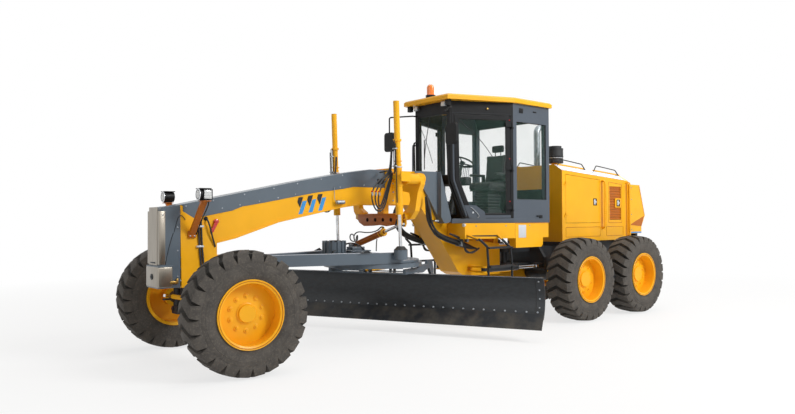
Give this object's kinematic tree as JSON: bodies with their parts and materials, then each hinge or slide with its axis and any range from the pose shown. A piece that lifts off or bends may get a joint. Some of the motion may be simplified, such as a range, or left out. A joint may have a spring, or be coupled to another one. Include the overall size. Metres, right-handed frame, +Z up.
{
  "type": "motor grader",
  "caption": "Motor grader with an arched front frame, leaning steered wheels, turning blade on a circle, six-sided cab and tandem drive behind an articulation joint.",
  "frame": {"origin": "on the ground, below the middle of the machine's bounding box", "axes": "+X forward, +Y to the operator's left, +Z up"},
  "size_m": [9.2741, 3.9218, 3.69],
  "materials": {
    "black_paint": "satin",
    "cast": "matte",
    "chrome": "polished",
    "fabric": "woven",
    "grey_paint": "satin",
    "plastic": "matte",
    "steel": "worn",
    "tyre": "matte",
    "yellow_paint": "gloss"
  },
  "bodies": {
    "front": {"front_frame": "yellow_paint", "cowls": "grey_paint", "front_axle": "grey_paint", "lift_saddle": "yellow_paint", "lamps_and_mirrors": "black_paint", "cab_frame": "black_paint", "cab_roof": "yellow_paint", "seat": "fabric", "controls": "plastic", "platform": "yellow_paint"},
    "rear": {"rear_frame": "grey_paint", "tandem_cases": "grey_paint", "hood": "yellow_paint", "tail_box": "yellow_paint", "engine": "cast", "exhaust": "steel"},
    "lean_bar": {"lean_bar": "steel"},
    "tie_rod_end": {"tie_rod_end": "steel"},
    "tie_rod": {"tie_rod": "steel"},
    "drawbar": {"drawbar": "grey_paint"},
    "circle": {"circle": "grey_paint"},
    "blade_carrier": {"blade_carrier": "grey_paint"},
    "blade": {"moldboard": "black_paint", "cutting_edge": "steel"},
    "tip_barrel": {"tip_barrel": "yellow_paint"},
    "tip_rod": {"tip_rod": "chrome"},
    "centre_shift_rod": {"centre_shift_rod": "chrome"},
    "centre_shift_barrel": {"centre_shift_barrel": "yellow_paint"},
    "lean_yoke_left": {"lean_yoke_left": "grey_paint"},
    "knuckle_left": {"knuckle_left": "grey_paint"},
    "steering_barrel_left": {"steering_barrel_left": "yellow_paint"},
    "steering_rod_left": {"steering_rod_left": "chrome"},
    "lift_barrel_left": {"lift_barrel_left": "yellow_paint"},
    "lift_rod_left": {"lift_rod_left": "chrome"},
    "articulation_barrel_left": {"articulation_barrel_left": "yellow_paint"},
    "articulation_rod_left": {"articulation_rod_left": "chrome"},
    "cab_door_left": {"cab_door_left": "black_paint"},
    "hood_door_left": {"hood_door_left": "yellow_paint"},
    "wheel_front_left": {"tyre_front_left": "tyre", "rim_front_left": "yellow_paint"},
    "wheel_middle_left": {"tyre_middle_left": "tyre", "rim_middle_left": "yellow_paint"},
    "wheel_rear_left": {"tyre_rear_left": "tyre", "rim_rear_left": "yellow_paint"},
    "lean_yoke_right": {"lean_yoke_right": "grey_paint"},
    "knuckle_right": {"knuckle_right": "grey_paint"},
    "steering_barrel_right": {"steering_barrel_right": "yellow_paint"},
    "steering_rod_right": {"steering_rod_right": "chrome"},
    "lift_barrel_right": {"lift_barrel_right": "yellow_paint"},
    "lift_rod_right": {"lift_rod_right": "chrome"},
    "articulation_barrel_right": {"articulation_barrel_right": "yellow_paint"},
    "articulation_rod_right": {"articulation_rod_right": "chrome"},
    "cab_door_right": {"cab_door_right": "black_paint"},
    "hood_door_right": {"hood_door_right": "yellow_paint"},
    "wheel_front_right": {"tyre_front_right": "tyre", "rim_front_right": "yellow_paint"},
    "wheel_middle_right": {"tyre_middle_right": "tyre", "rim_middle_right": "yellow_paint"},
    "wheel_rear_right": {"tyre_rear_right": "tyre", "rim_rear_right": "yellow_paint"}
  },
  "joints": [
    {"name": "articulation", "type": "hinge", "parent": "front", "child": "rear", "pos_m": [-1.33, 0, 0.99], "axis": [0, 0, 1], "range_deg": [-27, 27]},
    {"name": "articulation_barrel_left_swing", "type": "hinge", "parent": "front", "child": "articulation_barrel_left", "pos_m": [-0.32, 0.5, 0.865], "axis": [0, 0, 1], "range_deg": [-4.65, 4.65]},
    {"name": "articulation_rod_left_slide", "type": "slide", "parent": "articulation_barrel_left", "child": "articulation_rod_left", "axis": [-1, 0, 0], "range_m": [-0.23264, 0.23264]},
    {"name": "articulation_barrel_right_swing", "type": "hinge", "parent": "front", "child": "articulation_barrel_right", "pos_m": [-0.32, -0.5, 0.865], "axis": [0, 0, 1], "range_deg": [-4.65, 4.65]},
    {"name": "articulation_rod_right_slide", "type": "slide", "parent": "articulation_barrel_right", "child": "articulation_rod_right", "axis": [-1, 0, 0], "range_m": [-0.23264, 0.23264]},
    {"name": "wheel_lean_left", "type": "hinge", "parent": "front", "child": "lean_yoke_left", "pos_m": [3.94, 0.69, 0.54], "axis": [1, 0, 0], "range_deg": [-17, 17]},
    {"name": "wheel_lean_right", "type": "hinge", "parent": "front", "child": "lean_yoke_right", "pos_m": [3.94, -0.69, 0.54], "axis": [1, 0, 0], "range_deg": [-17, 17]},
    {"name": "lean_bar_swing", "type": "hinge", "parent": "lean_yoke_left", "child": "lean_bar", "pos_m": [4.055, 0.69, 0.83], "axis": [1, 0, 0], "range_deg": [-17, 17]},
    {"name": "steering_left", "type": "hinge", "parent": "lean_yoke_left", "child": "knuckle_left", "pos_m": [3.94, 0.778, 0.665], "axis": [0, 0, 1], "range_deg": [-42, 54]},
    {"name": "steering_right", "type": "hinge", "parent": "lean_yoke_right", "child": "knuckle_right", "pos_m": [3.94, -0.778, 0.665], "axis": [0, 0, 1], "range_deg": [-42, 54]},
    {"name": "tie_rod_end_turn", "type": "hinge", "parent": "knuckle_left", "child": "tie_rod_end", "pos_m": [3.72618, 0.80047, 0.653], "axis": [0, 0, 1], "range_deg": [-54, 42]},
    {"name": "tie_rod_swing", "type": "hinge", "parent": "tie_rod_end", "child": "tie_rod", "pos_m": [3.72618, 0.80047, 0.653], "axis": [1, 0, 0], "range_deg": [-15.08, 15.08]},
    {"name": "steering_barrel_left_swing", "type": "hinge", "parent": "front", "child": "steering_barrel_left", "pos_m": [4.056, 0.15, 0.706], "axis": [0, 0, 1], "range_deg": [-1.98, 1.54]},
    {"name": "steering_rod_left_slide", "type": "slide", "parent": "steering_barrel_left", "child": "steering_rod_left", "axis": [0.0855, 0.9963, 0], "range_m": [-0.11811, 0.15186]},
    {"name": "wheel_front_left_roll", "type": "hinge", "parent": "knuckle_left", "child": "wheel_front_left", "pos_m": [3.97136, 1.07636, 0.665], "axis": [0.1045, 0.9945, 0], "continuous": true},
    {"name": "steering_barrel_right_swing", "type": "hinge", "parent": "front", "child": "steering_barrel_right", "pos_m": [4.056, -0.15, 0.706], "axis": [0, 0, 1], "range_deg": [-3.55, 2.76]},
    {"name": "steering_rod_right_slide", "type": "slide", "parent": "steering_barrel_right", "child": "steering_rod_right", "axis": [0.0934, -0.9956, 0], "range_m": [-0.14932, 0.11614]},
    {"name": "wheel_front_right_roll", "type": "hinge", "parent": "knuckle_right", "child": "wheel_front_right", "pos_m": [3.90864, -1.07636, 0.665], "axis": [0.1045, 0.9945, 0], "continuous": true},
    {"name": "wheel_middle_left_roll", "type": "hinge", "parent": "rear", "child": "wheel_middle_left", "pos_m": [-1.96, 1.078, 0.665], "axis": [0, 1, 0], "continuous": true},
    {"name": "wheel_middle_right_roll", "type": "hinge", "parent": "rear", "child": "wheel_middle_right", "pos_m": [-1.96, -1.078, 0.665], "axis": [0, 1, 0], "continuous": true},
    {"name": "wheel_rear_left_roll", "type": "hinge", "parent": "rear", "child": "wheel_rear_left", "pos_m": [-3.498, 1.078, 0.665], "axis": [0, 1, 0], "continuous": true},
    {"name": "wheel_rear_right_roll", "type": "hinge", "parent": "rear", "child": "wheel_rear_right", "pos_m": [-3.498, -1.078, 0.665], "axis": [0, 1, 0], "continuous": true},
    {"name": "drawbar_lift", "type": "hinge", "parent": "front", "child": "drawbar", "pos_m": [3.61, 0, 1.13], "axis": [0, 1, 0], "range_deg": [-14, 5.5]},
    {"name": "lift_barrel_left_swing", "type": "hinge", "parent": "front", "child": "lift_barrel_left", "pos_m": [1.55, 0.722, 2.2], "axis": [0, 1, 0], "range_deg": [-1.94, 0.76]},
    {"name": "lift_rod_left_slide", "type": "slide", "parent": "lift_barrel_left", "child": "lift_rod_left", "axis": [-0.0332, 0, -0.9994], "range_m": [-0.20003, 0.50915]},
    {"name": "lift_barrel_right_swing", "type": "hinge", "parent": "front", "child": "lift_barrel_right", "pos_m": [1.55, -0.722, 2.2], "axis": [0, 1, 0], "range_deg": [-1.94, 0.76]},
    {"name": "lift_rod_right_slide", "type": "slide", "parent": "lift_barrel_right", "child": "lift_rod_right", "axis": [-0.0332, 0, -0.9994], "range_m": [-0.20003, 0.50915]},
    {"name": "centre_shift_rod_swing", "type": "hinge", "parent": "front", "child": "centre_shift_rod", "pos_m": [1.29, 0.483, 1.573], "axis": [1, 0, 0], "range_deg": [-9.14, 23.27]},
    {"name": "centre_shift_barrel_slide", "type": "slide", "parent": "centre_shift_rod", "child": "centre_shift_barrel", "axis": [0, -0.9598, -0.2807], "range_m": [-0.0919, 0.23392]},
    {"name": "circle_turn", "type": "hinge", "parent": "drawbar", "child": "circle", "pos_m": [1.425, 0, 1.015], "axis": [0, 0, 1], "range_deg": [-62, 11]},
    {"name": "blade_tip", "type": "hinge", "parent": "circle", "child": "blade_carrier", "pos_m": [0.84735, -0.27553, 0.35], "axis": [-0.4305, 0.9026, 0], "range_deg": [-20, 20]},
    {"name": "tip_barrel_swing", "type": "hinge", "parent": "circle", "child": "tip_barrel", "pos_m": [1.56941, 0.06888, 0.94], "axis": [-0.4305, 0.9026, 0], "range_deg": [-0.086828, 0.086828]},
    {"name": "tip_rod_slide", "type": "slide", "parent": "tip_barrel", "child": "tip_rod", "axis": [-0.9025, -0.4305, -0.0146], "range_m": [-0.19939, 0.19939]},
    {"name": "blade_side_shift", "type": "slide", "parent": "blade_carrier", "child": "blade", "axis": [-0.4305, 0.9026, 0], "range_m": [-0.86, 0.3]},
    {"name": "cab_door_left_swing", "type": "hinge", "parent": "front", "child": "cab_door_left", "pos_m": [-0.61891, 0.81963, 2.4], "axis": [0, 0, 1], "range_deg": [0, 100]},
    {"name": "hood_door_left_swing", "type": "hinge", "parent": "rear", "child": "hood_door_left", "pos_m": [-2.22, 0.61, 1.95], "axis": [0, 0, -1], "range_deg": [0, 100]},
    {"name": "cab_door_right_swing", "type": "hinge", "parent": "front", "child": "cab_door_right", "pos_m": [-0.61891, -0.81963, 2.4], "axis": [0, 0, -1], "range_deg": [0, 100]},
    {"name": "hood_door_right_swing", "type": "hinge", "parent": "rear", "child": "hood_door_right", "pos_m": [-2.22, -0.61, 1.95], "axis": [0, 0, 1], "range_deg": [0, 100]}
  ],
  "couplings": [
    {"joint": "articulation_barrel_left_swing", "follows": "articulation", "ratio": 0.17211},
    {"joint": "articulation_rod_left_slide", "follows": "articulation", "m_per_rad": 0.49367},
    {"joint": "articulation_barrel_right_swing", "follows": "articulation", "ratio": 0.17211},
    {"joint": "articulation_rod_right_slide", "follows": "articulation", "m_per_rad": -0.49367},
    {"joint": "wheel_lean_right", "follows": "wheel_lean_left", "ratio": 1},
    {"joint": "lean_bar_swing", "follows": "wheel_lean_left", "ratio": -1},
    {"joint": "steering_right", "follows": "steering_left", "ratio": 1},
    {"joint": "tie_rod_end_turn", "follows": "steering_left", "ratio": -1},
    {"joint": "tie_rod_swing", "follows": "wheel_lean_left", "ratio": -0.88689},
    {"joint": "steering_barrel_left_swing", "follows": "steering_left", "ratio": -0.036599},
    {"joint": "steering_rod_left_slide", "follows": "steering_left", "m_per_rad": 0.16113},
    {"joint": "steering_barrel_right_swing", "follows": "steering_left", "ratio": -0.065803},
    {"joint": "steering_rod_right_slide", "follows": "steering_left", "m_per_rad": -0.15843},
    {"joint": "lift_barrel_left_swing", "follows": "drawbar_lift", "ratio": 0.13825},
    {"joint": "lift_rod_left_slide", "follows": "drawbar_lift", "m_per_rad": -2.0837},
    {"joint": "lift_barrel_right_swing", "follows": "drawbar_lift", "ratio": 0.13825},
    {"joint": "lift_rod_right_slide", "follows": "drawbar_lift", "m_per_rad": -2.0837},
    {"joint": "centre_shift_rod_swing", "follows": "drawbar_lift", "ratio": -1.6619},
    {"joint": "centre_shift_barrel_slide", "follows": "drawbar_lift", "m_per_rad": -0.9573},
    {"joint": "tip_barrel_swing", "follows": "blade_tip", "ratio": -0.0043413},
    {"joint": "tip_rod_slide", "follows": "blade_tip", "m_per_rad": -0.57121}
  ]
}
